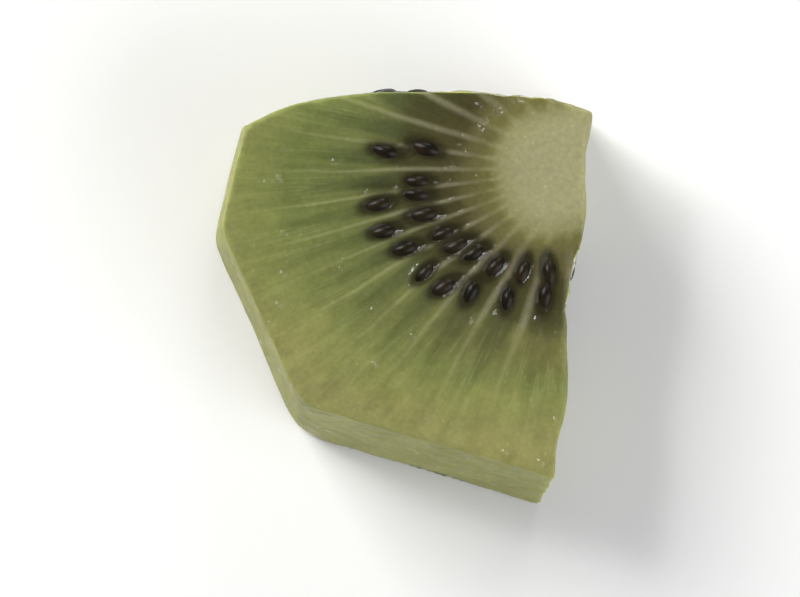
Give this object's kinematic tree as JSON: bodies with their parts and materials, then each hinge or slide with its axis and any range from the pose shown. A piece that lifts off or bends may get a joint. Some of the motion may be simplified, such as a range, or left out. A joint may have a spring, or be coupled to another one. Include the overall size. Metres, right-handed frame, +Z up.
{
  "type": "kiwi chunk",
  "caption": "Chopped chunk of peeled green kiwi fruit, a little over a quarter of a thick slice, with pale core and dark seeds on its cut faces.",
  "frame": {"origin": "on the surface that the chunk rests on, under the middle of its bounding box", "axes": "+Z up, along the whole fruit's long axis; +X towards the lengthwise cut beside the core; +Y towards the other lengthwise cut; the peeled side faces -X and -Y"},
  "size_m": [0.0266, 0.0296, 0.0172],
  "materials": {
    "kiwi_flesh": "wet translucent green fruit flesh with dark seeds",
    "kiwi_core": "pale cream-green moist fruit core"
  },
  "bodies": {
    "root": {"flesh": "kiwi_flesh", "core": "kiwi_core"}
  },
  "joints": []
}
